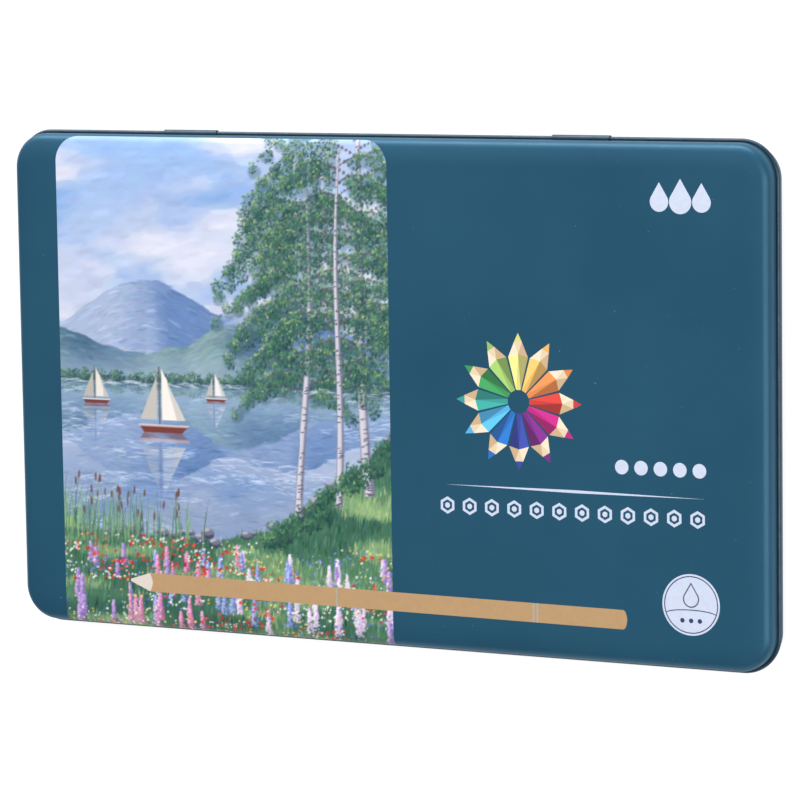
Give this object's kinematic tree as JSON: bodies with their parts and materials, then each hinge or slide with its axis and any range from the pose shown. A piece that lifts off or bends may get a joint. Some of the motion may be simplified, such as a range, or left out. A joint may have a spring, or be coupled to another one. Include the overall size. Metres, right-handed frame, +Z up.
{
  "type": "watercolor pencil set",
  "caption": "Flat hinged tinplate box with rounded corners and a rolled bead round its lid, holding one row of hexagonal watercolor pencils in a formed plastic tray.",
  "frame": {"origin": "middle of the tin's flat bottom, on the surface that it lies on", "axes": "+X along the pencils, away from their points, +Y to the hinges at the back, +Z up through the lid"},
  "size_m": [0.1856, 0.1131, 0.0105],
  "materials": {
    "lid_enamel": "satin teal lacquer with a printed picture panel",
    "base_enamel": "satin teal lacquer",
    "tray_plastic": "satin white, vacuum formed",
    "casing_yellow": "gloss lacquer over wood, bare at the sharpened cone",
    "core_yellow": "waxy pigment",
    "casing_orange": "gloss lacquer over wood, bare at the sharpened cone",
    "core_orange": "waxy pigment",
    "casing_red": "gloss lacquer over wood, bare at the sharpened cone",
    "core_red": "waxy pigment",
    "casing_pink": "gloss lacquer over wood, bare at the sharpened cone",
    "core_pink": "waxy pigment",
    "casing_violet": "gloss lacquer over wood, bare at the sharpened cone",
    "core_violet": "waxy pigment",
    "casing_dark_blue": "gloss lacquer over wood, bare at the sharpened cone",
    "core_dark_blue": "waxy pigment",
    "casing_light_blue": "gloss lacquer over wood, bare at the sharpened cone",
    "core_light_blue": "waxy pigment",
    "casing_light_green": "gloss lacquer over wood, bare at the sharpened cone",
    "core_light_green": "waxy pigment",
    "casing_dark_green": "gloss lacquer over wood, bare at the sharpened cone",
    "core_dark_green": "waxy pigment",
    "casing_ochre": "gloss lacquer over wood, bare at the sharpened cone",
    "core_ochre": "waxy pigment",
    "casing_brown": "gloss lacquer over wood, bare at the sharpened cone",
    "core_brown": "waxy pigment",
    "casing_black": "gloss lacquer over wood, bare at the sharpened cone",
    "core_black": "waxy pigment"
  },
  "bodies": {
    "base": {"base_tin": "base_enamel", "pencil_tray": "tray_plastic", "pencil_01_casing": "casing_yellow", "pencil_01_core": "core_yellow", "pencil_02_casing": "casing_orange", "pencil_02_core": "core_orange", "pencil_03_casing": "casing_red", "pencil_03_core": "core_red", "pencil_04_casing": "casing_pink", "pencil_04_core": "core_pink", "pencil_05_casing": "casing_violet", "pencil_05_core": "core_violet", "pencil_06_casing": "casing_dark_blue", "pencil_06_core": "core_dark_blue", "pencil_07_casing": "casing_light_blue", "pencil_07_core": "core_light_blue", "pencil_08_casing": "casing_light_green", "pencil_08_core": "core_light_green", "pencil_09_casing": "casing_dark_green", "pencil_09_core": "core_dark_green", "pencil_10_casing": "casing_ochre", "pencil_10_core": "core_ochre", "pencil_11_casing": "casing_brown", "pencil_11_core": "core_brown", "pencil_12_casing": "casing_black", "pencil_12_core": "core_black"},
    "lid": {"lid": "lid_enamel"}
  },
  "joints": [
    {"name": "lid_hinge", "type": "hinge", "parent": "base", "child": "lid", "pos_m": [0, 0.05591, 0.0059], "axis": [-1, 0, 0], "range_deg": [0, 180]}
  ]
}
